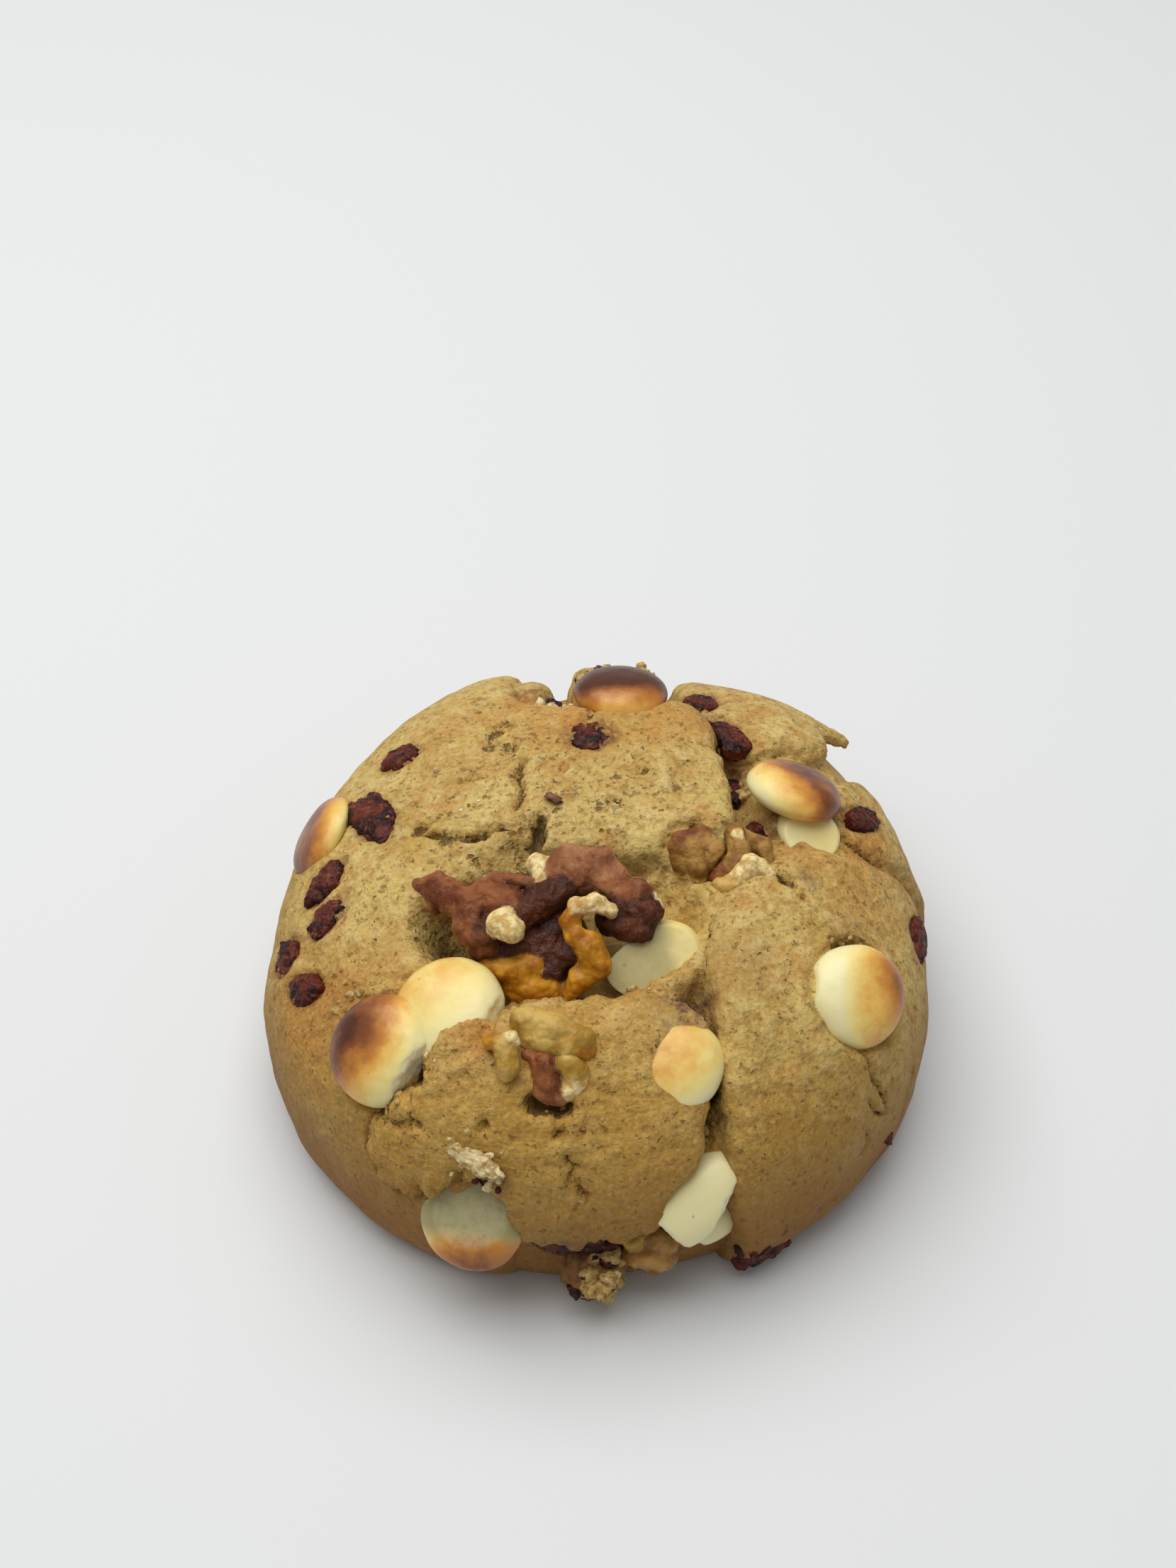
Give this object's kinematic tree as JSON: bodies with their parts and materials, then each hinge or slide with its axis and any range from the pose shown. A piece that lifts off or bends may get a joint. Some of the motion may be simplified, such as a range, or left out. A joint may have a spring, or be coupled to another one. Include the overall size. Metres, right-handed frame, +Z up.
{
  "type": "pumpkin spice cookie",
  "caption": "Thick baked drop cookie with a split, lobed crust round a sunken middle, set with white baking chips, walnut pieces and dried red fruit.",
  "frame": {"origin": "middle of the cookie's flat underside, on the surface that it lies on", "axes": "+Z up through the crown; -Y is the front, towards the viewer of the picture; +X is the picture's right"},
  "size_m": [0.0909, 0.096, 0.0442],
  "materials": {
    "crumb": "matte baked crumb, golden tan, browner towards the foot",
    "white_chip": "satin cream coloured confectionery",
    "toasted_chip": "satin confectionery browned by baking",
    "walnut_skin": "papery red-brown nut skin with a pale bloom",
    "walnut_flesh": "waxy broken nut flesh, cream to amber",
    "red_fruit": "wrinkled, slightly sticky dried fruit"
  },
  "bodies": {
    "root": {"dough": "crumb", "walnut_kernel": "walnut_skin", "chip_back_right": "toasted_chip", "chip_crack_half": "white_chip", "chip_crack_splinter": "white_chip", "chip_front_lobe": "white_chip", "chip_front_low": "white_chip", "chip_half_sunk": "white_chip", "chip_hollow": "white_chip", "chip_left_pale": "white_chip", "chip_left_rim": "toasted_chip", "chip_left_toasted": "toasted_chip", "chip_rear": "toasted_chip", "chip_right": "white_chip", "fruit_back": "red_fruit", "fruit_back_plate": "red_fruit", "fruit_cleft_back": "red_fruit", "fruit_cleft_front": "red_fruit", "fruit_cleft_middle": "red_fruit", "fruit_crown": "red_fruit", "fruit_front_foot": "red_fruit", "fruit_left_back": "red_fruit", "fruit_left_large": "red_fruit", "fruit_left_lower": "red_fruit", "fruit_left_middle": "red_fruit", "fruit_left_rim": "red_fruit", "fruit_left_upper": "red_fruit", "fruit_right_back": "red_fruit", "fruit_right_foot": "red_fruit", "fruit_right_rim": "red_fruit", "walnut_back_flesh": "walnut_flesh", "walnut_back_left": "walnut_skin", "walnut_back_right": "walnut_skin", "walnut_foot": "walnut_skin", "walnut_front_bit": "walnut_flesh", "walnut_front_nugget": "walnut_flesh", "walnut_front_plate": "walnut_flesh"}
  },
  "joints": []
}
